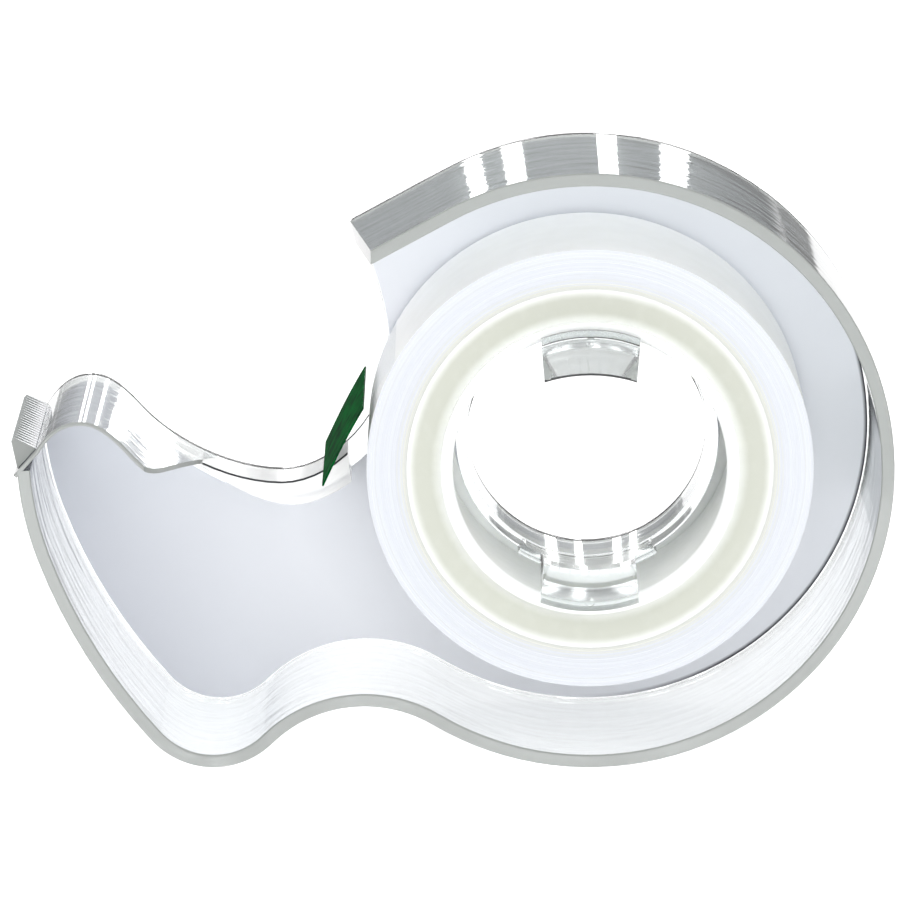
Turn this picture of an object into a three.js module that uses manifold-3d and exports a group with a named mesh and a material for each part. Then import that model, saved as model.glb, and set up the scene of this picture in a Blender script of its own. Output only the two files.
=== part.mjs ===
// Hand-held tape dispenser: a clear, open-sided snail shell with a toothed cutting edge,
// a snap-in hub, and a roll of clear tape with a green starter tab.
// Millimetres, +Z up, +X away from the cutting edge, +Y towards the closed side plate.
// The shell is drawn around the hub axis, and the finished group is then moved so that
// the origin is the middle of its footprint, on the surface that the rim stands on.
import * as THREE from 'three';
import { mergeVertices } from 'three/addons/utils/BufferGeometryUtils.js';
import Module from 'manifold-3d';

const wasm = await Module();
wasm.setup();

// ---- driving dimensions -------------------------------------------------------------

// Roll of tape
const TAPE_WIDTH = 19;
const CORE_BORE = 25.4;
const CORE_DIAMETER = 34;
const ROLL_DIAMETER = 41.4;
const ROLL_STEPS = 96;

// Loose end of the tape, which leaves the roll along a tangent
const LEAD_ANGLE = 150.6; // where it leaves the roll, degrees from +X
const LEAD_LENGTH = 5.2;
const TAB_LENGTH = 8.3;
const FILM = 0.4;

// Clearances
const PART_GAP = 0.3; // between pieces that touch
const HUB_CLEARANCE = 0.3; // hub ring in the core's bore, on the radius
const PLATE_CLEARANCE = 0.55; // side plate to the roll's far side
const RIM_PROUD = 1.65; // open edge of the rim beyond the roll's near side
const ROLL_ROOM = 6.2; // roll to drum wall, on the radius
const HOOK_CLEARANCE = 0.3; // snap hook to the core's near edge
const LEAD_ROOM = 2; // ledge to the roll, on the radius
const WELD = 1e-5; // points closer than this are one

// Shell walls
const WALL = 1.2;
const PLATE = 1.1;
const REST_WALL = 0.7; // nose and ramp

// Lower outline of the shell
const LOBE_RADIUS = 7.7;
const LOBE_REACH = 35; // hub axis to lobe axis
const ARCH_RADIUS = 12.2; // hollow between drum and lobe
const FRONT_LOW_RADIUS = 53.7;
const FRONT_LOW_ANGLE = -138.1; // where the lobe runs into the front wall
const FRONT_HIGH_RADIUS = 30.2;
const FRONT_HIGH_ANGLE = -159.7; // where the front wall starts to curve back
const FRONT_TOP = 28.3;
const ARC_STEP = 4; // degrees

// Hood over the roll
const HOOD_ANGLE = 118.7; // where it leaves the drum, degrees from +X
const HOOD_LENGTH = 10.2;
const HOOD_SLANT = 2.2; // how much shorter the hood is at the open side

// Mouth between the hood and the tape rest
const MOUTH_BACK = 18.8; // hub axis to the back of the mouth
const MOUTH_HEIGHT = 35.5;
const VALLEY_SETBACK = 10.1; // back of the mouth to the lowest point
const VALLEY_HEIGHT = 23.75;
const CURVE_STEPS = 10;

// Tape rest: the rounded nose behind the teeth, and the ramp behind the nose
const SEAT_RUN = 1.7; // slanted seat of the cutter, level and upright
const SEAT_RISE = 1.9;
const NOSE_SETBACK = 4.2; // seat to the top of the nose
const NOSE_RISE = 2.76;
const RAMP_SETBACK = 4.9; // top of the nose to the middle of the ramp
const RAMP_DROP = 3.26;
const GUSSET_NEAR_SETBACK = 5.1; // top of the nose to the ramp's end at the open side
const GUSSET_FAR_SETBACK = 12.2; // the same at the side plate
const RAIL_WIDTH = 5.2;
const RAIL_THICKNESS = 2.05;

// Cutter
const COMB_MARGIN = 0.5; // teeth beyond each edge of the tape
const COMB_REACH = 1.84; // base of the wedge to the tips of the teeth
const COMB_LEAN = 0.44; // tips towards the nose from the middle of the seat
const TIP_WIDTH = 0.6;
const TOOTH_PITCH = 0.95;
const TOOTH_LENGTH = 1.5;

// Hub ring and its two snap fingers
const HUB_WALL = 1;
const HUB_RING_LENGTH = 5.45;
const FINGER_HALF_ANGLE = 22.5;
const FINGER_ROOT_HALF_ANGLE = 32;
const FINGER_ROOT_LENGTH = 2.5;
const HOOK_DEPTH = 0.9; // beyond the hub ring, on the radius
const HOOK_LENGTH = 1.1;
const LIP_DEPTH = 2.3; // inward from the finger, on the radius
const LIP_LENGTH = 1.8;

// ---- places worked out from them ----------------------------------------------------

const ROLL_RADIUS = ROLL_DIAMETER / 2;
const DRUM_RADIUS = ROLL_RADIUS + ROLL_ROOM + WALL;
const DRUM = new THREE.Vector2(0, DRUM_RADIUS);

const ROLL_FAR = TAPE_WIDTH / 2;
const ROLL_NEAR = -TAPE_WIDTH / 2;
const PLATE_INNER = ROLL_FAR + PLATE_CLEARANCE;
const PLATE_OUTER = PLATE_INNER + PLATE;
const WALL_FAR = PLATE_INNER - PART_GAP;
const OPEN_EDGE = ROLL_NEAR - RIM_PROUD;

const HUB_OUTER = CORE_BORE / 2 - HUB_CLEARANCE;
const HUB_INNER = HUB_OUTER - HUB_WALL;
const HUB_RING_NEAR = WALL_FAR - HUB_RING_LENGTH;
const FINGER_FAR = HUB_RING_NEAR - PART_GAP;
const HOOK_FAR = ROLL_NEAR - HOOK_CLEARANCE;
const FINGER_NEAR = HOOK_FAR - HOOK_LENGTH;

// ---- plane geometry helpers (the plane is X and Z) ------------------------------------

const radians = (degrees) => THREE.MathUtils.degToRad(degrees);
const point = (x, z) => new THREE.Vector2(x, z);

function polar(centre, radius, degrees) {
  const angle = radians(degrees);
  return point(centre.x + radius * Math.cos(angle), centre.y + radius * Math.sin(angle));
}

function bearing(from, to) {
  return THREE.MathUtils.radToDeg(Math.atan2(to.y - from.y, to.x - from.x));
}

function arc(centre, radius, from, to) {
  const steps = Math.max(2, Math.ceil(Math.abs(to - from) / ARC_STEP));
  const points = [];
  for (let i = 0; i <= steps; i += 1) {
    points.push(polar(centre, radius, from + (to - from) * i / steps));
  }
  return points;
}

function samples(curve, from = 0, to = 1) {
  const steps = Math.max(2, Math.ceil(Math.abs(to - from) * CURVE_STEPS));
  const points = [];
  for (let i = 0; i <= steps; i += 1) {
    points.push(curve.getPoint(from + (to - from) * i / steps));
  }
  return points;
}

// Centre of the circle that touches two others, on their lower side.
function lowerCentre(a, reachA, b, reachB) {
  const span = a.distanceTo(b);
  const along = (reachA ** 2 - reachB ** 2 + span ** 2) / (2 * span);
  const across = Math.sqrt(reachA ** 2 - along ** 2);
  const unit = b.clone().sub(a).divideScalar(span);
  const below = unit.x > 0 ? point(unit.y, -unit.x) : point(-unit.y, unit.x);
  return a.clone().addScaledVector(unit, along).addScaledVector(below, across);
}

// A strip of even thickness to the left of an open line of points.
function ribbon(line, thickness) {
  const inner = line.map((here, i) => {
    const before = line[Math.max(i - 1, 0)];
    const after = line[Math.min(i + 1, line.length - 1)];
    const along = after.clone().sub(before).normalize();
    return here.clone().add(point(-along.y, along.x).multiplyScalar(thickness));
  });
  return [...line, ...inner.reverse()];
}

// ---- the shell's outline ----------------------------------------------------------------

const LOBE = point(-LOBE_REACH, LOBE_RADIUS);
const ARCH = lowerCentre(DRUM, DRUM_RADIUS + ARCH_RADIUS, LOBE, LOBE_RADIUS + ARCH_RADIUS);
const FRONT_LOW = polar(LOBE, LOBE_RADIUS - FRONT_LOW_RADIUS, FRONT_LOW_ANGLE);
const FRONT_HIGH = polar(FRONT_LOW, FRONT_LOW_RADIUS - FRONT_HIGH_RADIUS, FRONT_HIGH_ANGLE);
const FRONT_RISE = (FRONT_TOP - FRONT_HIGH.y) / FRONT_HIGH_RADIUS;
const FRONT_TOP_ANGLE = THREE.MathUtils.radToDeg(-Math.PI - Math.asin(FRONT_RISE));

const DRUM_END_ANGLE = bearing(DRUM, ARCH);
const ARCH_END_ANGLE = bearing(ARCH, LOBE);
const HOOD_DIRECTION = HOOD_ANGLE + 90;

// The outline of each wall, seen from the open side and drawn clockwise from the hood.
// inset moves it inwards by that much; trim leaves half a gap at both ends.
function drumLine(inset, trim = 0) {
  const radius = DRUM_RADIUS - inset;
  const lip = polar(polar(DRUM, radius, HOOD_ANGLE), HOOD_LENGTH, HOOD_DIRECTION);
  const cut = THREE.MathUtils.radToDeg(trim / DRUM_RADIUS);
  return [lip, ...arc(DRUM, radius, HOOD_ANGLE, DRUM_END_ANGLE + cut)];
}

function bellyLine(inset, trim = 0) {
  const archCut = THREE.MathUtils.radToDeg(trim / ARCH_RADIUS);
  const lobeCut = THREE.MathUtils.radToDeg(trim / LOBE_RADIUS);
  const archStart = DRUM_END_ANGLE + 180 + archCut;
  const lobeStart = ARCH_END_ANGLE - 180;
  return [
    ...arc(ARCH, ARCH_RADIUS + inset, archStart, ARCH_END_ANGLE),
    ...arc(LOBE, LOBE_RADIUS - inset, lobeStart, FRONT_LOW_ANGLE + lobeCut).slice(1),
  ];
}

function frontLine(inset, trim = 0) {
  const lowCut = THREE.MathUtils.radToDeg(trim / FRONT_LOW_RADIUS);
  const highCut = THREE.MathUtils.radToDeg(trim / FRONT_HIGH_RADIUS);
  const low = arc(FRONT_LOW, FRONT_LOW_RADIUS - inset, FRONT_LOW_ANGLE - lowCut, FRONT_HIGH_ANGLE);
  const highEnd = FRONT_TOP_ANGLE + highCut;
  return [...low, ...arc(FRONT_HIGH, FRONT_HIGH_RADIUS - inset, FRONT_HIGH_ANGLE, highEnd).slice(1)];
}

// The upper line, from the hood's inner corner round the mouth and over the tape rest
const MOUTH_TOP = drumLine(WALL)[0];
const MOUTH = point(-MOUTH_BACK, MOUTH_HEIGHT);
const VALLEY = point(-MOUTH_BACK - VALLEY_SETBACK, VALLEY_HEIGHT);
const SEAT_LOW = polar(FRONT_HIGH, FRONT_HIGH_RADIUS, FRONT_TOP_ANGLE);
const SEAT_HIGH = point(SEAT_LOW.x + SEAT_RUN, SEAT_LOW.y + SEAT_RISE);
const NOSE = point(SEAT_HIGH.x + NOSE_SETBACK, SEAT_HIGH.y + NOSE_RISE);
const RAMP = point(NOSE.x + RAMP_SETBACK, NOSE.y - RAMP_DROP);
const RAMP_SLOPE = point(-0.67, 0.74);

function bezier(start, startPull, endPull, end) {
  return new THREE.CubicBezierCurve(start, start.clone().add(startPull), end.clone().add(endPull), end);
}

// Handles of the curves, from each point that two curves meet at
const HOOD_PULL = point(1.7, -3);
const MOUTH_PULL_UP = point(0, 3.5);
const MOUTH_PULL_DOWN = point(0, -6.5);
const VALLEY_PULL_BACK = point(4.7, 0);
const VALLEY_PULL_FRONT = point(-5, 0);
const RAMP_PULL_DOWN = RAMP_SLOPE.clone().multiplyScalar(-4);
const RAMP_PULL_UP = RAMP_SLOPE.clone().multiplyScalar(2.3);
const NOSE_PULL_BACK = point(1.9, 0);
const NOSE_PULL_FRONT = point(-2.2, 0);
const SEAT_PULL = point(0.8, 1.3);

const mouthUpper = bezier(MOUTH_TOP, HOOD_PULL, MOUTH_PULL_UP, MOUTH);
const mouthLower = bezier(MOUTH, MOUTH_PULL_DOWN, VALLEY_PULL_BACK, VALLEY);
const rampLower = bezier(VALLEY, VALLEY_PULL_FRONT, RAMP_PULL_DOWN, RAMP);
const rampUpper = bezier(RAMP, RAMP_PULL_UP, NOSE_PULL_BACK, NOSE);
const noseFront = bezier(NOSE, NOSE_PULL_FRONT, SEAT_PULL, SEAT_HIGH);
const RAIL_FROM = 0.5; // share of the lower mouth curve
const RAIL_TO = 0.42; // share of the lower ramp curve

// ---- solids -------------------------------------------------------------------------------

// A prism of an X-Z outline from the depth near to the depth far.
function prism(outline, near, far, hole = null) {
  const shape = new THREE.Shape(outline);
  if (hole) shape.holes.push(new THREE.Path(hole));
  const geometry = new THREE.ExtrudeGeometry(shape, { depth: far - near, bevelEnabled: false });
  return geometry.rotateX(Math.PI / 2).translate(0, far, 0);
}

// A prism of an X-Y outline from the height low to the height high.
function uprightPrism(outline, low, high) {
  const shape = new THREE.Shape(outline);
  const geometry = new THREE.ExtrudeGeometry(shape, { depth: high - low, bevelEnabled: false });
  return geometry.translate(0, 0, low);
}

function solid(geometry) {
  geometry.deleteAttribute('normal');
  geometry.deleteAttribute('uv');
  const merged = mergeVertices(geometry, WELD);
  return new wasm.Manifold(new wasm.Mesh({
    numProp: 3,
    vertProperties: new Float32Array(merged.attributes.position.array),
    triVerts: new Uint32Array(merged.index.array),
  }));
}

function geometryOf(manifold) {
  const mesh = manifold.getMesh();
  const geometry = new THREE.BufferGeometry();
  geometry.setAttribute('position', new THREE.BufferAttribute(new Float32Array(mesh.vertProperties), 3));
  geometry.setIndex(new THREE.BufferAttribute(new Uint32Array(mesh.triVerts), 1));
  geometry.computeVertexNormals();
  return geometry;
}

function band(line, near, far) {
  return prism([...line(0, PART_GAP / 2), ...line(WALL, PART_GAP / 2).reverse()], near, far);
}

function circle(radius) {
  return arc(DRUM, radius, 0, 360).slice(0, -1);
}

// ---- materials ------------------------------------------------------------------------------

const clear = { color: 0xdfe4e6, roughness: 0.08, metalness: 0 };
const frosted = { color: 0xe6e8f2, roughness: 0.35, metalness: 0 };
const cutter = { color: 0xb9bfc2, roughness: 0.15, metalness: 0 };
const cream = { color: 0xdcddc8, roughness: 0.5, metalness: 0 };
const tape = { color: 0xf0f4f8, roughness: 0.4, metalness: 0 };
const green = { color: 0x0b6b34, roughness: 0.35, metalness: 0 };

function part(name, geometry, look) {
  const mesh = new THREE.Mesh(geometry, new THREE.MeshStandardMaterial(look));
  mesh.name = name;
  return mesh;
}

// ---- shell ----------------------------------------------------------------------------------

function sidePlate() {
  const outline = [
    ...drumLine(0),
    ...bellyLine(0).slice(1),
    ...frontLine(0).slice(1),
    SEAT_HIGH,
    ...samples(noseFront, 1, 0).slice(1),
    ...samples(rampUpper, 1, 0).slice(1),
    ...samples(rampLower, 1, 0).slice(1),
    ...samples(mouthLower, 1, 0).slice(1),
    ...samples(mouthUpper, 1, 0).slice(1),
  ];
  return part('side_plate', prism(outline, PLATE_INNER, PLATE_OUTER, circle(HUB_INNER)), frosted);
}

// The drum's wall runs on into the hood, whose lip is cut back towards the open side.
function drumWall() {
  const lipFar = drumLine(0)[0].x;
  const lipNear = lipFar + HOOD_SLANT;
  const clearOf = lipFar - HOOD_LENGTH;
  const slant = uprightPrism([
    point(clearOf, OPEN_EDGE - WALL),
    point(lipNear, OPEN_EDGE - WALL),
    point(lipNear, OPEN_EDGE),
    point(lipFar, WALL_FAR),
    point(lipFar, PLATE_OUTER),
    point(clearOf, PLATE_OUTER),
  ], DRUM_RADIUS, 3 * DRUM_RADIUS);
  const wall = solid(band(drumLine, OPEN_EDGE, WALL_FAR)).subtract(solid(slant));
  return part('drum_wall', geometryOf(wall), clear);
}

function bellyWall() {
  return part('belly_wall', band(bellyLine, OPEN_EDGE, WALL_FAR), clear);
}

function frontWall() {
  return part('front_wall', band(frontLine, OPEN_EDGE, WALL_FAR), clear);
}

// A thin wall from the cutter's seat over the nose and down the ramp. Its open edge
// sweeps across to the side plate along a curve.
function tapeRest() {
  const foot = SEAT_LOW.clone().add(point(SEAT_RUN, SEAT_RISE).multiplyScalar(PART_GAP / SEAT_RISE));
  const line = [
    foot,
    ...samples(noseFront, 1, 0),
    ...samples(rampUpper, 1, 0).slice(1),
    ...samples(rampLower, 1, RAIL_TO).slice(1),
  ];
  const outline = ribbon(line, -REST_WALL);
  outline[outline.length - 1] = point(SEAT_LOW.x + WALL, foot.y);
  const strip = prism(outline, OPEN_EDGE, WALL_FAR);
  const near = point(NOSE.x + GUSSET_NEAR_SETBACK, OPEN_EDGE - WALL);
  const far = point(NOSE.x + GUSSET_FAR_SETBACK, WALL_FAR);
  const sweep = new THREE.CubicBezierCurve(
    near,
    point(near.x + RAMP_SETBACK / 2, OPEN_EDGE + RIM_PROUD),
    point(near.x + RAMP_SETBACK / 2, (OPEN_EDGE + WALL_FAR) / 2),
    far,
  );
  const beyond = VALLEY.x + VALLEY_SETBACK;
  const away = uprightPrism([
    ...samples(sweep),
    point(beyond, PLATE_OUTER),
    point(beyond, near.y),
  ].reverse(), 0, DRUM_RADIUS * 2);
  return part('tape_rest', geometryOf(solid(strip).subtract(solid(away))), clear);
}

// A ledge along the bottom of the mouth, standing on the side plate. Its end by the roll
// is cut back to let the loose lead pass.
function thumbRail() {
  const line = [
    ...samples(rampLower, RAIL_TO, 0).slice(1),
    ...samples(mouthLower, 1, RAIL_FROM).slice(1),
  ];
  const strip = prism(ribbon(line, -RAIL_THICKNESS), WALL_FAR - RAIL_WIDTH, WALL_FAR);
  const room = prism(circle(ROLL_RADIUS + LEAD_ROOM), OPEN_EDGE, PLATE_INNER);
  return part('thumb_rail', geometryOf(solid(strip).subtract(solid(room))), clear);
}

// ---- cutter ---------------------------------------------------------------------------------

// A wedge on the slanted seat, with V teeth cut into its sharp edge.
function cutterComb() {
  const seat = SEAT_HIGH.clone().sub(SEAT_LOW);
  const span = seat.length();
  const along = seat.clone().divideScalar(span);
  const out = point(-along.y, along.x);
  const place = (run, rise) => SEAT_LOW.clone().addScaledVector(along, run).addScaledVector(out, rise);
  const half = TAPE_WIDTH / 2 + COMB_MARGIN;
  const tip = span / 2 + COMB_LEAN;
  const wedge = prism([
    place(0, PART_GAP),
    place(tip - TIP_WIDTH / 2, COMB_REACH + PART_GAP),
    place(tip + TIP_WIDTH / 2, COMB_REACH + PART_GAP),
    place(span, PART_GAP),
  ], -half, half);
  const count = Math.round(2 * half / TOOTH_PITCH);
  const pitch = 2 * half / count;
  const root = COMB_REACH - TOOTH_LENGTH + PART_GAP;
  const outline = [point(-half, 0), point(half, 0)];
  for (let i = count; i > 0; i -= 1) {
    const edge = -half + i * pitch;
    outline.push(point(edge, root));
    outline.push(point(edge - pitch / 2, root + TOOTH_LENGTH));
  }
  outline.push(point(-half, root));
  const thickness = 2 * span;
  const teeth = new THREE.Shape(outline);
  const comb = new THREE.ExtrudeGeometry(teeth, { depth: thickness, bevelEnabled: false });
  const basis = new THREE.Matrix4().makeBasis(
    new THREE.Vector3(0, 1, 0),
    new THREE.Vector3(out.x, 0, out.y),
    new THREE.Vector3(along.x, 0, along.y),
  );
  const start = place(-span / 2, 0);
  comb.applyMatrix4(basis).translate(start.x, 0, start.y);
  return part('cutter_comb', geometryOf(solid(wedge).intersect(solid(comb))), cutter);
}

// ---- hub ------------------------------------------------------------------------------------

function hubRing() {
  const ring = prism(circle(HUB_OUTER), HUB_RING_NEAR, WALL_FAR, circle(HUB_INNER));
  return part('hub_ring', ring, clear);
}

// A sector of a ring around the hub axis.
function sector(inner, outer, middle, half, near, far) {
  const outline = [
    ...arc(DRUM, outer, middle - half, middle + half),
    ...arc(DRUM, inner, middle + half, middle - half),
  ];
  return solid(prism(outline, near, far));
}

// A springy tongue with a flared root, a hook over the core and a lip to press it in by.
function snapFinger(name, middle) {
  const root = sector(HUB_INNER, HUB_OUTER, middle, FINGER_ROOT_HALF_ANGLE,
    FINGER_FAR - FINGER_ROOT_LENGTH, FINGER_FAR);
  const tongue = sector(HUB_INNER, HUB_OUTER, middle, FINGER_HALF_ANGLE, FINGER_NEAR, FINGER_FAR);
  const hook = sector(HUB_INNER, HUB_OUTER + HOOK_DEPTH, middle, FINGER_HALF_ANGLE, FINGER_NEAR, HOOK_FAR);
  const lip = sector(HUB_INNER - LIP_DEPTH, HUB_OUTER, middle, FINGER_HALF_ANGLE,
    FINGER_NEAR, FINGER_NEAR + LIP_LENGTH);
  return part(name, geometryOf(root.add(tongue).add(hook).add(lip)), clear);
}

// ---- roll -----------------------------------------------------------------------------------

// A ring of revolution around the hub axis, between two radii and over the tape's width.
function rollRing(inner, outer) {
  const profile = [
    point(inner, ROLL_NEAR),
    point(outer, ROLL_NEAR),
    point(outer, ROLL_FAR),
    point(inner, ROLL_FAR),
    point(inner, ROLL_NEAR),
  ];
  return new THREE.LatheGeometry(profile, ROLL_STEPS);
}

function tapeCore() {
  const mesh = part('tape_core', rollRing(CORE_BORE / 2, CORE_DIAMETER / 2), cream);
  mesh.position.set(DRUM.x, 0, DRUM.y);
  return mesh;
}

function tapeWinding() {
  const mesh = part('tape_winding', rollRing(CORE_DIAMETER / 2 + PART_GAP, ROLL_RADIUS), tape);
  mesh.position.set(DRUM.x, 0, DRUM.y);
  return mesh;
}

// A flat strip on the tangent that leaves the roll, from one distance along it to another.
function tangentStrip(from, to) {
  const foot = (radius, run) => polar(polar(DRUM, radius, LEAD_ANGLE), run, LEAD_ANGLE + 90);
  const inner = ROLL_RADIUS + PART_GAP;
  const outer = inner + FILM;
  const outline = [foot(inner, from), foot(outer, from), foot(outer, to), foot(inner, to)];
  return prism(outline, ROLL_NEAR, ROLL_FAR);
}

function tapeLead() {
  return part('tape_lead', tangentStrip(0, LEAD_LENGTH), tape);
}

function starterTab() {
  const start = LEAD_LENGTH + PART_GAP;
  return part('starter_tab', tangentStrip(start, start + TAB_LENGTH), green);
}

// ---- assembly -------------------------------------------------------------------------------

const shell = new THREE.Group();
shell.add(sidePlate(), drumWall(), bellyWall(), frontWall(), tapeRest(), thumbRail());
shell.add(cutterComb(), hubRing());

const roll = new THREE.Group();
roll.add(tapeCore(), tapeWinding(), tapeLead(), starterTab());

const dispenser = new THREE.Group();
dispenser.add(shell, roll, snapFinger('snap_finger_upper', 90), snapFinger('snap_finger_lower', -90));

const middle = new THREE.Box3().setFromObject(dispenser).getCenter(new THREE.Vector3());
dispenser.position.set(-middle.x, 0, 0);

export default dispenser;
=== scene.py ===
"""A clear, hand-held tape dispenser with its roll of tape, modelled around its CAD frame.

The shell is one clear moulding: a flat side plate, a wall that runs from the hood round the
drum, the belly and the lobe to the nose behind the teeth, a ledge along the mouth, a hub ring
and two snap fingers. The roll turns on the hub: a cream core, the wound tape, the loose lead
and a green starter tab.
"""
import logging
import math
from contextlib import contextmanager
from dataclasses import dataclass
from enum import Enum
from typing import Callable, Iterator, Sequence

import bmesh
import bpy
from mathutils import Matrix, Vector

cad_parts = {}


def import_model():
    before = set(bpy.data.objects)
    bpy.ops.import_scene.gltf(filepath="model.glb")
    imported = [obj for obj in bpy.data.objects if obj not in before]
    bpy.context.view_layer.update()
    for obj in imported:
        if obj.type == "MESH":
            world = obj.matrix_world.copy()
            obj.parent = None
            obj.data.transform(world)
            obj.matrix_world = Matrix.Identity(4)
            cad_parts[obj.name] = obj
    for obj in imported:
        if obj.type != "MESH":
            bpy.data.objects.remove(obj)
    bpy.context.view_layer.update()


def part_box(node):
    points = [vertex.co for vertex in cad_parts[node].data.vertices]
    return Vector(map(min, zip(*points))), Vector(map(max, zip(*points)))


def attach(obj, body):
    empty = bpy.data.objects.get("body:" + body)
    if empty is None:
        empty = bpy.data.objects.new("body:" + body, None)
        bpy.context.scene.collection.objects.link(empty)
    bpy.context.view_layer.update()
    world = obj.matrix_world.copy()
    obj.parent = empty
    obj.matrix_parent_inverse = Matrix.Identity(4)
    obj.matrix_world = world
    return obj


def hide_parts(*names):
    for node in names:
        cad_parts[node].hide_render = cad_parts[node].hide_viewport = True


log = logging.getLogger("tape_dispenser")

MM = 0.001
ARC_STEP = 3.0
OVERCUT = 1.0
Point = tuple[float, float]
Span = tuple[float, float]
Triple = tuple[float, float, float]
WHOLE: Span = (0.0, 1.0)
Piece = bpy.types.Object
Material = bpy.types.Material
Socket = bpy.types.NodeSocket


class Body(Enum):
    """The rigid bodies that pieces ride on."""

    DISPENSER = "dispenser"
    ROLL = "tape_roll"
    UPPER_FINGER = "upper_finger"
    LOWER_FINGER = "lower_finger"


# ---- working in edit mode ---------------------------------------------------------------


def deselect_everything() -> None:
    """Leave no object selected, so that an operator acts on the new piece alone."""
    bpy.ops.object.select_all(action="DESELECT")


def pick(piece: Piece) -> None:
    """Select one piece alone and make it the active one."""
    deselect_everything()
    piece.select_set(True)
    bpy.context.view_layer.objects.active = piece


@contextmanager
def editing(piece: Piece) -> Iterator[None]:
    """Open a piece in edit mode, and leave edit mode afterwards.

    Args:
        piece: The mesh object to open.
    """
    pick(piece)
    bpy.ops.object.mode_set(mode="EDIT")
    try:
        yield
    finally:
        bpy.ops.object.mode_set(mode="OBJECT")


def select_verts(piece: Piece, test: Callable[[Vector], bool]) -> int:
    """Select the vertices whose place passes a test, with the edges and faces between them.

    Args:
        piece: The mesh object open in edit mode.
        test: Says whether a vertex at this place is wanted.

    Returns:
        How many vertices are selected.
    """
    mesh = bmesh.from_edit_mesh(piece.data)
    for face in mesh.faces:
        face.select = False
    for edge in mesh.edges:
        edge.select = False
    for vert in mesh.verts:
        vert.select = test(vert.co)
    mesh.select_flush(True)
    bmesh.update_edit_mesh(piece.data)
    return sum(vert.select for vert in mesh.verts)


def select_all() -> None:
    """Select the whole mesh in edit mode."""
    bpy.ops.mesh.select_all(action="SELECT")


def close_up(piece: Piece, reach: float = 1e-6) -> None:
    """Weld a finished shell's doubled points and turn its faces outwards.

    Args:
        piece: The mesh object in object mode.
        reach: How far apart welded points may be, in metres.
    """
    with editing(piece):
        select_all()
        bpy.ops.mesh.remove_doubles(threshold=reach)
        bpy.ops.mesh.normals_make_consistent(inside=False)


def apply_modifier(piece: Piece, kind: str, **settings: object) -> None:
    """Add one modifier to a piece and apply it at once.

    Args:
        piece: The mesh object in object mode.
        kind: The modifier's type, such as BEVEL.
        **settings: Values for the modifier's own properties.
    """
    pick(piece)
    modifier = piece.modifiers.new(kind.lower(), kind)
    for name, value in settings.items():
        setattr(modifier, name, value)
    bpy.ops.object.modifier_apply(modifier=modifier.name)


def cut_with(piece: Piece, tool: Piece, operation: str = "DIFFERENCE") -> None:
    """Cut one closed piece with another, or join them, and delete the tool.

    Args:
        piece: The piece that stays.
        tool: The piece that cuts or joins, deleted afterwards.
        operation: DIFFERENCE, UNION or INTERSECT.
    """
    apply_modifier(piece, "BOOLEAN", object=tool, operation=operation, solver="EXACT")
    bpy.data.objects.remove(tool)


def round_edges(piece: Piece, width: float, segments: int, degrees: float) -> None:
    """Bevel the edges where a piece's faces turn by more than an angle.

    Args:
        piece: The mesh object in object mode.
        width: The bevel's width, in metres.
        segments: How many steps it has.
        degrees: The smallest turn that is bevelled.
    """
    limit = math.radians(degrees)
    apply_modifier(piece, "BEVEL", width=width, segments=segments, limit_method="ANGLE", angle_limit=limit)


def smooth(piece: Piece, degrees: float = 32) -> None:
    """Shade a piece smooth, with an edge kept where its faces turn by more than an angle.

    The large faces keep their own normals, so that a rounded edge doesn't bend the light in them.

    Args:
        piece: The mesh object in object mode.
        degrees: The largest turn that is still shaded smooth.
    """
    pick(piece)
    bpy.ops.object.shade_smooth_by_angle(angle=math.radians(degrees), keep_sharp_edges=False)
    apply_modifier(piece, "WEIGHTED_NORMAL", mode="FACE_AREA", weight=100, keep_sharp=True)


def finish_faces(piece: Piece, material: Material, test: Callable[[Vector, Vector], bool]) -> None:
    """Give some faces of a dressed piece another finish.

    Args:
        piece: The mesh object in object mode.
        material: The finish of the chosen faces.
        test: Says whether a face with this centre and this normal is wanted.
    """
    piece.data.materials.append(material)
    with editing(piece):
        mesh = bmesh.from_edit_mesh(piece.data)
        for face in mesh.faces:
            face.select_set(False)
        for face in mesh.faces:
            if test(face.calc_center_median(), face.normal):
                face.select_set(True)
        bmesh.update_edit_mesh(piece.data)
        piece.active_material_index = len(piece.data.materials) - 1
        bpy.ops.object.material_slot_assign()


def settled(name: str, scale: Triple = (1, 1, 1)) -> Piece:
    """Name the primitive just added and keep its place, turn and scale in its mesh."""
    piece = bpy.context.object
    piece.name = name
    piece.scale = scale
    bpy.ops.object.transform_apply(location=True, rotation=True, scale=True)
    return piece


def plane(name: str, centre: Vector, spans: Point, turn: float) -> Piece:
    """Add a flat rectangle that stands across the X-Z plane, with its place in its mesh.

    Args:
        name: The new object's name.
        centre: The rectangle's middle, in metres.
        spans: Its width along the turned X axis and its length along Y, in metres.
        turn: The angle of the turned X axis from +X towards +Z, in radians.

    Returns:
        The new mesh object.
    """
    deselect_everything()
    bpy.ops.mesh.primitive_plane_add(size=1, location=centre, rotation=(0, -turn, 0))
    return settled(name, (spans[0], spans[1], 1))


# ---- plane geometry: the plane is X and Z, in millimetres ---------------------------------


def polar(centre: Point, radius: float, degrees: float) -> Point:
    """Return the point at a bearing and a distance from a centre."""
    angle = math.radians(degrees)
    return (centre[0] + radius * math.cos(angle), centre[1] + radius * math.sin(angle))


def bearing(start: Point, end: Point) -> float:
    """Return the direction from one point to another, in degrees."""
    return math.degrees(math.atan2(end[1] - start[1], end[0] - start[0]))


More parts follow.
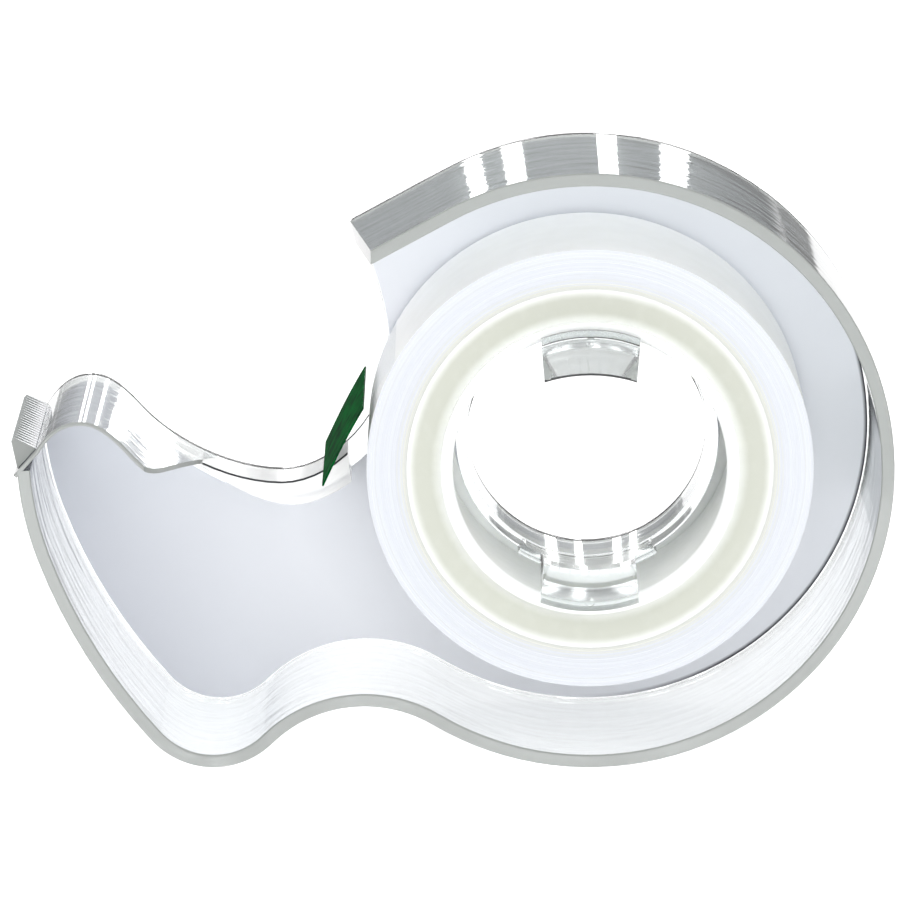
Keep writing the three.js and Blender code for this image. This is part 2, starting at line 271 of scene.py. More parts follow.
def bezier(start: Point, pull: Point, push: Point, end: Point, steps: int) -> list[Point]:
    """Sample a cubic curve.

    Args:
        start: The curve's first point.
        pull: The first handle, from the start.
        push: The second handle, from the end.
        end: The curve's last point.
        steps: How many stretches to cut it into.

    Returns:
        The points, with both ends.
    """
    a, d = Vector(start), Vector(end)
    b, c = a + Vector(pull), d + Vector(push)
    points = []
    for i in range(steps + 1):
        t = i / steps
        s = 1 - t
        here = a * s**3 + b * 3 * s * s * t + c * 3 * s * t * t + d * t**3
        points.append((here.x, here.y))
    return points


def beside(line: Sequence[Point], index: int, distance: float) -> Point:
    """Return the point at a distance to the right of one of a line's inner points."""
    along = (Vector(line[index + 1]) - Vector(line[index - 1])).normalized()
    here = Vector(line[index]) + Vector((along.y, -along.x)) * distance
    return (here.x, here.y)


def at(place: Point, depth: float) -> Vector:
    """Return a point of the plane as a place in metres, at a depth in metres."""
    return Vector((place[0] * MM, depth, place[1] * MM))


@dataclass(frozen=True)
class Outline:
    """The shell's outline in millimetres, drawn clockwise from the hood, seen from the open side."""

    hub: Point
    drum: float
    roll: float = 20.7
    wall: float = 1.2
    lobe: float = 7.7
    lobe_reach: float = 35.0
    arch: float = 12.2
    front_low: float = 53.7
    front_low_angle: float = -138.1
    front_high: float = 30.2
    front_high_angle: float = -159.7
    front_top: float = 28.3
    hood_angle: float = 118.7
    hood_length: float = 10.2
    hood_slant: float = 2.2
    mouth_back: float = 18.8
    mouth_height: float = 35.5
    valley_setback: float = 10.1
    valley_height: float = 23.75
    seat: Point = (1.7, 1.9)
    nose: Point = (4.2, 2.76)
    ramp: Point = (4.9, -3.26)
    ramp_slope: Point = (-0.67, 0.74)
    nose_pulls: tuple[Point, Point, Point] = ((0.8, 1.3), (-2.2, 0), (1.9, 0))
    ramp_pulls: Span = (2.3, 4)
    valley_pulls: tuple[Point, Point] = ((-5, 0), (4.7, 0))
    mouth_pulls: tuple[Point, Point] = ((0, -6.5), (0, 3.5))
    hood_pull: Point = (1.7, -3)
    panel_skirt: float = 0.9
    panel_gap: float = 0.15
    panel_turns: tuple[int, int, int] = (20, 28, 40)

    @property
    def lobe_centre(self) -> Point:
        """The lobe's centre."""
        return (self.hub[0] - self.lobe_reach, self.lobe)

    @property
    def arch_centre(self) -> Point:
        """The centre of the hollow that touches the drum and the lobe from below."""
        a, b = Vector(self.hub), Vector(self.lobe_centre)
        reach_a, reach_b = self.drum + self.arch, self.lobe + self.arch
        span = (b - a).length
        along = (reach_a**2 - reach_b**2 + span**2) / (2 * span)
        across = math.sqrt(reach_a**2 - along**2)
        unit = (b - a) / span
        centre = a + unit * along + Vector((-unit.y, unit.x)) * across
        return (centre.x, centre.y)

    @property
    def front_low_centre(self) -> Point:
        """The centre of the lower front curve."""
        return polar(self.lobe_centre, self.lobe - self.front_low, self.front_low_angle)

    @property
    def front_high_centre(self) -> Point:
        """The centre of the upper front curve."""
        return polar(self.front_low_centre, self.front_low - self.front_high, self.front_high_angle)

    @property
    def front_top_angle(self) -> float:
        """The bearing at which the upper front curve reaches the wall's top."""
        rise = (self.front_top - self.front_high_centre[1]) / self.front_high
        return -180 - math.degrees(math.asin(rise))

    @property
    def arcs(self) -> list[tuple[Point, float, float, float]]:
        """The round stretches in order: centre, radius, first and last bearing."""
        drum_end = bearing(self.hub, self.arch_centre)
        arch_end = bearing(self.arch_centre, self.lobe_centre)
        return [
            (self.hub, self.drum, self.hood_angle, drum_end),
            (self.arch_centre, self.arch, drum_end + 180, arch_end),
            (self.lobe_centre, self.lobe, arch_end - 180, self.front_low_angle),
            (self.front_low_centre, self.front_low, self.front_low_angle, self.front_high_angle),
            (self.front_high_centre, self.front_high, self.front_high_angle, self.front_top_angle),
        ]

    @property
    def mouth_line(self) -> list[Point]:
        """The line from the groove over the nose and along the mouth to its back."""
        return self.over_nose() + self.down_ramp()[1:] + self.up_mouth()[1:]

    @property
    def hood_lip(self) -> Point:
        """The outer corner of the hood's lip."""
        return self.hood_corner()

    def hood_corner(self, inset: float = 0.0) -> Point:
        """Return the corner of the hood's lip at a distance inside the outer line."""
        foot = polar(self.hub, self.drum - inset, self.hood_angle)
        return polar(foot, self.hood_length, self.hood_angle + 90)

    @property
    def seat_low(self) -> Point:
        """The lower end of the slanted seat that carries the teeth."""
        return polar(self.front_high_centre, self.front_high, self.front_top_angle)

    @property
    def seat_high(self) -> Point:
        """The groove between the teeth and the nose."""
        return (self.seat_low[0] + self.seat[0], self.seat_low[1] + self.seat[1])

    @property
    def nose_top(self) -> Point:
        """The top of the nose."""
        return (self.seat_high[0] + self.nose[0], self.seat_high[1] + self.nose[1])

    @property
    def ramp_middle(self) -> Point:
        """The middle of the ramp behind the nose."""
        return (self.nose_top[0] + self.ramp[0], self.nose_top[1] + self.ramp[1])

    @property
    def valley(self) -> Point:
        """The lowest point of the mouth."""
        return (self.hub[0] - self.mouth_back - self.valley_setback, self.valley_height)

    @property
    def mouth(self) -> Point:
        """The back of the mouth."""
        return (self.hub[0] - self.mouth_back, self.mouth_height)

    def over_nose(self, steps: int = 10) -> list[Point]:
        """Return the line from the groove over the nose to the middle of the ramp."""
        slope = self.ramp_slope
        rise, over, down = self.nose_pulls
        push = (slope[0] * self.ramp_pulls[0], slope[1] * self.ramp_pulls[0])
        front = bezier(self.seat_high, rise, over, self.nose_top, steps)
        back = bezier(self.nose_top, down, push, self.ramp_middle, steps)
        return front + back[1:]

    def down_ramp(self, steps: int = 12) -> list[Point]:
        """Return the line from the middle of the ramp to the lowest point of the mouth."""
        slope = self.ramp_slope
        pull = (-self.ramp_pulls[1] * slope[0], -self.ramp_pulls[1] * slope[1])
        return bezier(self.ramp_middle, pull, self.valley_pulls[0], self.valley, steps)

    def up_mouth(self, steps: int = 14) -> list[Point]:
        """Return the line from the lowest point of the mouth to its back."""
        return bezier(self.valley, self.valley_pulls[1], self.mouth_pulls[0], self.mouth, steps)

    def under_hood(self, steps: int = 8) -> list[Point]:
        """Return the line from the back of the mouth to the hood's inner corner."""
        corner = self.hood_corner(self.wall)
        return bezier(self.mouth, self.mouth_pulls[1], self.hood_pull, corner, steps)

    def round_points(self, inset: float = 0.0) -> list[Point]:
        """Return the round stretches as points, clockwise from the hood.

        Args:
            inset: How far inside the outer line they run, in millimetres.

        Returns:
            The points of all the stretches.
        """
        points = []
        for centre, radius, start, end in self.arcs:
            steps = max(2, math.ceil(abs(end - start) / ARC_STEP))
            within = radius - inset if end < start else radius + inset
            points += [polar(centre, within, start + (end - start) * i / steps) for i in range(steps + 1)]
        return points

    def panel(self, inset: float, ledge: float) -> list[Point]:
        """Return the matte panel's outline: within the walls, and below the ledge.

        Args:
            inset: How far it stays from the walls' outer line, in millimetres.
            ledge: How far it stays below the mouth's line, in millimetres.

        Returns:
            The outline's points, clockwise from the hood.
        """
        points = [self.hood_corner(inset), *self.round_points(inset)]
        line, skirt = self.mouth_line, self.panel_skirt
        drop, level, rise = self.panel_turns
        last = len(line) - 1
        for i in range(2, last):
            if i < drop:
                below = skirt
            elif i < level:
                below = skirt + (ledge - skirt) * (i - drop) / (level - drop)
            elif i < rise:
                below = ledge
            else:
                below = max(self.panel_gap, ledge * (last - i) / (last - rise))
            points.append(beside(line, i, below))
        points += [(x + self.panel_gap, z) for x, z in self.under_hood()[1:-1]]
        return points


@dataclass(frozen=True)
class Depths:
    """Where the pieces lie along Y, in metres, read from the CAD frame."""

    open_edge: float
    plate_inner: float
    plate_outer: float
    roll_near: float
    roll_far: float

    @classmethod
    def from_frame(cls) -> "Depths":
        """Read the depths from the CAD nodes' boxes."""
        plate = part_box("side_plate")
        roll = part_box("tape_winding")
        return cls(
            open_edge=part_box("drum_wall")[0].y,
            plate_inner=plate[0].y,
            plate_outer=plate[1].y,
            roll_near=roll[0].y,
            roll_far=roll[1].y,
        )


# ---- sweeping a section along the outline ---------------------------------------------------


class Sweep:
    """A closed wall made by carrying a flat section along a line in the X-Z plane."""

    def __init__(self, piece: Piece, start: Point, heading: float) -> None:
        """Start at a place, with the section selected.

        Args:
            piece: The mesh object, open in edit mode.
            start: The section's outer edge, in millimetres.
            heading: The direction of travel, in degrees.
        """
        self.piece = piece
        self.place = start
        self.heading = heading

    def straight(self, end: Point) -> None:
        """Carry the section straight on to a point."""
        step = (Vector(end) - Vector(self.place)) * MM
        bpy.ops.mesh.extrude_region_move(TRANSFORM_OT_translate={"value": (step.x, 0, step.y)})
        self.place = end

    def arc(self, centre: Point, radius: float, start: float, end: float, step: float = ARC_STEP) -> None:
        """Carry the section round a centre.

        Args:
            centre: The middle of the arc, in millimetres.
            radius: The arc's radius, in millimetres.
            start: The first bearing from the centre, in degrees.
            end: The last bearing, in degrees.
            step: The turn of one stretch, in degrees.
        """
        steps = max(2, math.ceil(abs(end - start) / step))
        bpy.ops.mesh.spin(steps=steps, angle=math.radians(end - start), center=at(centre, 0), axis=(0, 1, 0))
        self.place = polar(centre, radius, end)
        self.heading += end - start

    def along(self, points: Sequence[Point]) -> None:
        """Carry the section through a list of points, turned to face along the line."""
        for i, end in enumerate(points):
            after = points[min(i + 1, len(points) - 1)]
            before = self.place if i + 1 < len(points) else points[i - 1]
            self.straight(end)
            heading = bearing(before, after)
            turn = (heading - self.heading + 180) % 360 - 180
            turn_about(end, turn)
            self.heading = heading


def turn_about(centre: Point, degrees: float) -> None:
    """Turn what is selected about a point, from +X towards +Z.

    Args:
        centre: The pivot, in millimetres.
        degrees: The turn.
    """
    bpy.ops.transform.rotate(
        value=math.radians(degrees), orient_axis="Y", orient_type="GLOBAL", center_override=at(centre, 0)
    )


def rounded_section(
    name: str, outer: Point, inward: float, spans: Point, near: float, edge: float
) -> Piece:
    """Make a wall's section: a rectangle with the corners of its open edge rounded.

    Args:
        name: The new object's name.
        outer: Where the section's outer edge stands, in millimetres.
        inward: The bearing from the outer edge to the inner one, in degrees.
        spans: The wall's thickness and its depth, in metres.
        near: The depth of the open edge, in metres.
        edge: The radius at the open edge, in metres.

    Returns:
        The section as a mesh object.
    """
    middle = polar(outer, spans[0] / MM / 2, inward)
    piece = plane(name, at(middle, near + spans[1] / 2), spans, math.radians(inward))
    with editing(piece):
        select_verts(piece, lambda co: co.y < near + edge)
        bpy.ops.mesh.bevel(offset=edge, segments=3, affect="VERTICES")
    return piece


def drawn_out(name: str, corners: Sequence[Vector], step: Vector) -> Piece:
    """Run a point round a flat outline, fill it and draw it out into a prism.

    Args:
        name: The new object's name.
        corners: The outline's corners in order, in metres.
        step: How far the outline is drawn out, in metres.

    Returns:
        The closed prism as a mesh object.
    """
    piece = outlined(name, corners)
    with editing(piece):
        select_all()
        bpy.ops.mesh.extrude_region_move(TRANSFORM_OT_translate={"value": step})
        select_all()
        bpy.ops.mesh.normals_make_consistent(inside=False)
    return piece


def outlined(name: str, corners: Sequence[Vector]) -> Piece:
    """Run a point round a flat outline and fill it with one face.

    Args:
        name: The new object's name.
        corners: The outline's corners in order, in metres.

    Returns:
        The flat face as a mesh object.
    """
    piece = plane(name, corners[0], (MM, MM), 0)
    with editing(piece):
        select_all()
        bpy.ops.mesh.merge(type="CENTER")
        for before, here in zip(corners, corners[1:]):
            bpy.ops.mesh.extrude_vertices_move(TRANSFORM_OT_translate={"value": here - before})
        select_all()
        bpy.ops.mesh.edge_face_add()
    return piece


def prism_between(name: str, points: Sequence[Point], near: float, far: float) -> Piece:
    """Make a prism of an outline in the X-Z plane, in millimetres, between two depths in metres."""
    return drawn_out(name, [at(point, near) for point in points], Vector((0, far - near, 0)))


def upright_prism(name: str, corners: Sequence[Point], low: float, high: float) -> Piece:
    """Make a prism of an outline seen from above, with corners and heights in metres."""
    return drawn_out(name, [Vector((x, y, low)) for x, y in corners], Vector((0, 0, high - low)))


def turned(
    name: str, hub: Point, profile: Sequence[Point], start: float = 0, sweep: float = 360, step: float = 3.75
) -> Piece:
    """Turn a profile about the hub's axis, all the way round or through a part of a turn.

    Args:
        name: The new object's name.
        hub: The axis in the X-Z plane, in millimetres.
        profile: Radius and depth of each corner, in millimetres.
        start: The bearing of the first section, in degrees.
        sweep: How far it is turned, in degrees.
        step: The turn of one stretch, in degrees.

    Returns:
        The closed solid as a mesh object.
    """
    piece = outlined(name, [at(polar(hub, radius, start), depth * MM) for radius, depth in profile])
    with editing(piece):
        select_all()
        if sweep == 360:
            bpy.ops.mesh.delete(type="ONLY_FACE")
            select_all()
        bpy.ops.mesh.spin(
            steps=round(sweep / step), angle=math.radians(sweep), center=at(hub, 0), axis=(0, 1, 0)
        )
    close_up(piece)
    return piece


def cylinder(name: str, centre: Point, radius: float, near: float, length: float) -> Piece:
    """Add a closed cylinder along Y.

    Args:
        name: The new object's name.
        centre: Its axis in the X-Z plane, in millimetres.
        radius: Its radius, in millimetres.
        near: Its lower depth, in metres.
        length: Its length, in metres.

    Returns:
        The new mesh object.
    """
    deselect_everything()
    bpy.ops.mesh.primitive_cylinder_add(
        vertices=96, radius=radius * MM, depth=length,
        location=at(centre, near + length / 2), rotation=(math.pi / 2, 0, 0),
    )
    return settled(name)


# ---- finishes -------------------------------------------------------------------------------


class Graph:
    """The node tree of a material or a world, with short ways to add and join nodes."""

    def __init__(self, name: str, world: bool = False) -> None:
        """Start an empty tree with an output node.

        Args:
            name: The name of the new material or world.
            world: Whether the tree is a world's.
        """
        self.owner = (bpy.data.worlds if world else bpy.data.materials).new(name)
        self.owner.use_nodes = True
        self.tree = self.owner.node_tree
        self.tree.nodes.clear()
        self.output = self.node("OutputWorld" if world else "OutputMaterial")

    def node(self, kind: str, inputs: dict | None = None, **settings: object) -> bpy.types.Node:
        """Add a node.

        Args:
            kind: The node's type name, without the ShaderNode in front.
            inputs: Values or sockets for its inputs, by name or number.
            **settings: Values for its own properties.

        Returns:
            The new node.
        """
        made = self.tree.nodes.new("ShaderNode" + kind)
        for name, value in settings.items():
            setattr(made, name, value)
        for name, value in (inputs or {}).items():
            if isinstance(value, Socket):
                self.tree.links.new(value, made.inputs[name])
            else:
                made.inputs[name].default_value = value
        return made

    def place(self) -> Socket:
        """Return the surface's place in the object, in metres."""
        return self.node("TexCoord").outputs["Object"]

    def part(self, place: Socket, axis: str) -> Socket:
        """Return one coordinate of a place or a direction."""
        return self.node("SeparateXYZ", {0: place}).outputs[axis]

    def radius(self, hub: Vector) -> Socket:
        """Return how far the surface is from an axis along Y, in metres."""
        centred = self.node("VectorMath", {0: self.place(), 1: tuple(hub)}, operation="SUBTRACT")
        flat = self.node("VectorMath", {0: centred.outputs[0], 1: (1, 0, 1)}, operation="MULTIPLY")
        return self.node("VectorMath", {0: flat.outputs[0]}, operation="LENGTH").outputs["Value"]

    def noise(self, scale: float, detail: float) -> Socket:
        """Return a cloudy pattern over the surface, from about 0 to 1."""
        pattern = {"Vector": self.place(), "Scale": scale, "Detail": detail}
        return self.node("TexNoise", pattern).outputs["Fac"]

    def calc(self, operation: str, *values: Socket | float) -> Socket:
        """Return what a Math operation, such as ADD, makes of its values."""
        return self.node("Math", dict(enumerate(values)), operation=operation).outputs[0]

    def spread(self, value: Socket, source: Span, target: Span = WHOLE, soft: bool = False) -> Socket:
        """Map a value from one range to another and keep it there.

        Args:
            value: The socket to map.
            source: The range that it comes in.
            target: The range that it goes to.
            soft: Whether it eases in and out.

        Returns:
            The mapped socket.
        """
        ends = zip(("From Min", "From Max", "To Min", "To Max"), (*source, *target))
        kind = "SMOOTHSTEP" if soft else "LINEAR"
        return self.node("MapRange", {"Value": value, **dict(ends)}, interpolation_type=kind).outputs[0]

    def ramp(self, factor: Socket, stops: Sequence[tuple[float, Triple]]) -> Socket:
        """Map a factor to a colour through stops.

        Args:
            factor: The socket that drives the ramp.
            stops: Positions from 0 to 1 with their colours.

        Returns:
            The colour socket.
        """
        ramp = self.node("ValToRGB", {"Fac": factor})
        ends = ramp.color_ramp.elements
        while len(ends) < len(stops):
            ends.new(0.5)
        for element, (position, colour) in zip(ends, stops):
            element.position = position
            element.color = (*colour, 1)
        return ramp.outputs["Color"]

    def bump(self, height: Socket, distance: float, strength: float = 0.5) -> Socket:
        """Return a normal that follows a height, in metres at full scale."""
        inputs = {"Height": height, "Distance": distance, "Strength": strength}
        return self.node("Bump", inputs).outputs[0]

    def surface(self, inputs: dict) -> Socket:
        """Return the all-purpose surface shader with these inputs."""
        return self.node("BsdfPrincipled", inputs).outputs[0]

    def transparent(self, tint: Triple) -> Socket:
        """Return a shader that light goes straight through."""
        return self.node("BsdfTransparent", {"Color": (*tint, 1)}).outputs[0]

    def mix(self, share: Socket, first: Socket, second: Socket) -> Socket:
        """Return the mix of two shaders."""
        return self.node("MixShader", {0: share, 1: first, 2: second}).outputs[0]

    def let_lamps_through(self, shader: Socket, tint: Triple) -> Socket:
        """Let lamps shine through a clear shader, so that what it covers isn't in a black shadow.

        Args:
            shader: The clear shader.
            tint: The colour of the light that comes through.

        Returns:
            The mixed shader.
        """
        shadow = self.node("LightPath").outputs["Is Shadow Ray"]
        return self.mix(shadow, shader, self.transparent(tint))

    def finish(self, shader: Socket) -> Material:
        """Join a shader to the output and return the material or the world."""
        self.tree.links.new(shader, self.output.inputs["Surface"])
        return self.owner


def milky(weight: float, radius: Triple = (0.002, 0.002, 0.0016)) -> dict:
    """Return the inputs of a surface that light soaks into."""
    return {"Subsurface Weight": weight, "Subsurface Radius": radius, "Subsurface Scale": 1.0}


@dataclass(frozen=True)
class ClearMoulding:
    """Polished clear polystyrene, with the faint flow ripple of a thin moulding."""

    name: str = "clear_polystyrene"
    tint: Triple = (0.95, 0.965, 0.965)
    roughness: float = 0.03
    index: float = 1.59
    ripple_scale: float = 140.0
    ripple_stretch: Triple = (1.0, 3.5, 1.0)
    ripple_depth: float = 0.000012
    clearness: float = 1.0
    passed: Triple = (0.95, 0.965, 0.965)

    def make(self) -> Material:
        """Build the material."""
        graph = Graph(self.name)
        place = graph.node("Mapping", {"Vector": graph.place(), "Scale": self.ripple_stretch}).outputs[0]
        pattern = {"Vector": place, "Scale": self.ripple_scale, "Detail": 2.0, "Roughness": 0.4}
        ripple = graph.node("TexNoise", pattern).outputs["Fac"]
        clear = graph.surface({
            "Base Color": (*self.tint, 1), "Roughness": self.roughness, "IOR": self.index,
            "Transmission Weight": self.clearness, "Normal": graph.bump(ripple, self.ripple_depth, 1.0),
        })
        return graph.finish(graph.let_lamps_through(clear, self.passed))


@dataclass(frozen=True)
class ToothedEdge:
    """Clear teeth with painted light and shade: a painted highlight on their ridges and painted shade in the
    grooves between them.
    """

    name: str = "clear_teeth"
    # ridge and groove colours: painted light on each tooth's crest and painted shade between the teeth
    ridge_painted_light: Triple = (0.42, 0.45, 0.49)
    groove: Triple = (0.012, 0.015, 0.025)
    pitch: float = 20 / 21 * MM
    slope: Span = (0.24, 0.38)
    mottle: float = 0.3
    roughness: float = 0.15
    index: float = 1.59
    clearness: float = 0.2

    def make(self) -> Material:
        """Build the material."""
        graph = Graph(self.name)
        # Painted stripes of light and shade, one pair per tooth along Y.
        turns = graph.calc("DIVIDE", graph.part(graph.place(), "Y"), self.pitch)
        away = graph.calc("PINGPONG", turns, 0.5)
        mottled = graph.calc("MULTIPLY_ADD", graph.noise(700.0, 2.0), self.mottle, away)
        colour = graph.ramp(mottled, list(zip(self.slope, (self.ridge_painted_light, self.groove))))
        return graph.finish(graph.surface({
            "Base Color": colour, "Roughness": self.roughness, "IOR": self.index,
            "Transmission Weight": self.clearness,
        }))


@dataclass(frozen=True)
class ThinFilm:
    """Clear tape in one layer: almost nothing to see but a faint sheen."""

    name: str = "clear_film"
    tint: Triple = (0.975, 0.98, 0.985)
    sheen: Span = (0.02, 0.07)
    roughness: float = 0.15

    def make(self) -> Material:
        """Build the material."""
        graph = Graph(self.name)
        share = graph.spread(graph.noise(300.0, 3.0), WHOLE, self.sheen)
        gloss = graph.node("BsdfGlossy", {"Roughness": self.roughness}).outputs[0]
        return graph.finish(graph.mix(share, graph.transparent(self.tint), gloss))


@dataclass(frozen=True)
class MattePanel:
    """The matte inner face of the side plate: painted light makes it milky white by the hub, painted shade
    makes it cooler and darker towards the lobe, with a painted shadow along the drum wall.
    """

    hub: Vector
    name: str = "matte_panel_painted_light_and_shade"
    # light and shade: painted light near the hub and painted shade towards the lobe, blended by the distance
    # from the hub
    light: Triple = (0.745, 0.76, 0.805)
    shade: Triple = (0.415, 0.432, 0.485)
    # corner: an almost black painted shadow along the drum wall, on the hub's right side only
    corner: Triple = (0.03, 0.03, 0.04)
    reach: Span = (0.029, 0.056)
    painted_shade_radius: Span = (0.0264, 0.0267)
    painted_shade_side: Span = (0.012, 0.026)
    cloud: float = 0.12
    roughness: Span = (0.4, 0.6)
    grain: float = 0.000004
    passed: Triple = (0.7, 0.71, 0.74)

    def make(self) -> Material:
        """Build the material."""
        graph = Graph(self.name)
        # Painted light and shade: lighter close to the hub, darker farther out.
        away = graph.spread(graph.radius(self.hub), self.reach)
        mottled = graph.calc("MULTIPLY_ADD", graph.noise(60.0, 3.0), self.cloud, away)
        flat = graph.ramp(mottled, [(0.05, self.light), (1.0, self.shade)])
        # Painted shadow: a thin, almost black band where the plate meets the drum wall, fading out towards the
        # left.
        side = graph.spread(graph.part(graph.place(), "X"), self.painted_shade_side)
        rim = graph.spread(graph.radius(self.hub), self.painted_shade_radius)
        dark = graph.calc("MULTIPLY", side, rim)
        colour = graph.node("MixRGB", {0: dark, 1: flat, 2: (*self.corner, 1)}).outputs[0]
        grain = graph.noise(2500.0, 2.0)
        shader = graph.surface({
            "Base Color": colour, "Roughness": graph.spread(grain, WHOLE, self.roughness),
            "Normal": graph.bump(grain, self.grain),
        })
        return graph.finish(graph.let_lamps_through(shader, self.passed))


@dataclass(frozen=True)
class WoundTape:
    """The edges of many turns of tape: milky white with fine rings about the hub."""

    hub: Vector
    name: str = "wound_tape"
    light: Triple = (0.63, 0.655, 0.695)
    shade: Triple = (0.585, 0.605, 0.65)
    core_side: Triple = (0.61, 0.62, 0.57)
    blend: Span = (0.0168, 0.0186)
    turn_pitch: float = 0.00022
    roughness: Span = (0.55, 0.35)
    ring_depth: float = 0.00003

    def make(self) -> Material:
        """Build the material."""
        graph = Graph(self.name)
        turns = graph.calc("DIVIDE", graph.radius(self.hub), self.turn_pitch)
        pattern = {"W": turns, "Scale": 1.0, "Detail": 3.0}
        rings = graph.node("TexNoise", pattern, noise_dimensions="1D").outputs["Fac"]
        away = graph.spread(graph.radius(self.hub), self.blend, (-0.5, 0.0), soft=True)
        stops = [(0.0, self.core_side), (0.35, self.shade), (0.65, self.light)]
        return graph.finish(graph.surface({
            "Base Color": graph.ramp(graph.calc("ADD", rings, away), stops),
            "Roughness": graph.spread(rings, WHOLE, self.roughness),
            "Normal": graph.bump(rings, self.ring_depth), **milky(0.25, (0.002, 0.002, 0.0024)),
        }))


@dataclass(frozen=True)
class CoreBoard:
    """The core: cream on its end faces, with painted light making it paler round its inner edge and in its
    bore.
    """

    hub: Vector
    name: str = "core_board_painted_light"
    # pale: painted light, a painted highlight on the rounded inner edge and brightness in the bore
    pale: Triple = (0.94, 0.955, 0.945)
    cream: Triple = (0.505, 0.52, 0.46)
    edge: Span = (0.0133, 0.0149)
    rim: Span = (0.0160, 0.0174)
    specks: Span = (-0.08, 0.08)
    roughness: Span = (0.5, 0.7)
    grain: float = 0.000008

    def make(self) -> Material:
        """Build the material."""
        graph = Graph(self.name)
        radius = graph.radius(self.hub)
        # Painted light makes the inner edge and the bore pale; the end face is cream, and paler again towards
        # its outer edge.
        inner = graph.spread(radius, self.edge, soft=True)
        outer = graph.spread(radius, self.rim[::-1], soft=True)
        mottle = graph.noise(900.0, 4.0)
        speck = graph.spread(mottle, WHOLE, self.specks)
        mixed = graph.calc("ADD", graph.calc("MULTIPLY", inner, outer), speck)
        return graph.finish(graph.surface({
            "Base Color": graph.ramp(mixed, [(0.0, self.pale), (1.0, self.cream)]),
            "Roughness": graph.spread(mottle, WHOLE, self.roughness),
            "Normal": graph.bump(mottle, self.grain), **milky(0.2),
        }))


@dataclass(frozen=True)
class Moulded:
    """An opaque moulded or printed surface with a faint mottle."""

    name: str
    light: Triple
    shade: Triple
    roughness: Span = (0.4, 0.55)
    scale: float = 400.0
    grain: float = 0.00001
    subsurface: float = 0.0
    specular: float = 0.5
    index: float = 1.5

    def make(self) -> Material:
        """Build the material."""
        graph = Graph(self.name)
        mottle = graph.noise(self.scale, 4.0)
        return graph.finish(graph.surface({
            "Base Color": graph.ramp(mottle, [(0.3, self.shade), (0.7, self.light)]),
            "Roughness": graph.spread(mottle, WHOLE, self.roughness),
            "Specular IOR Level": self.specular, "IOR": self.index,
            "Normal": graph.bump(mottle, self.grain, 0.6), **milky(self.subsurface),
        }))


def dress(piece: Piece, material: Material, slot: str, body: Body, *nodes: str) -> None:
    """Give a finished piece its material and its body, and hide the CAD nodes that it stands for.

    Args:
        piece: The finished mesh object.
        material: Its material.
        slot: Not used.
        body: The body that it rides on.
        *nodes: The CAD nodes that it replaces.
    """
    piece.data.materials.clear()
    piece.data.materials.append(material)
    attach(piece, body.value)
    if nodes:
        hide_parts(*nodes)
    log.info("%s: %d faces", piece.name, len(piece.data.polygons))


# ---- the shell ------------------------------------------------------------------------------


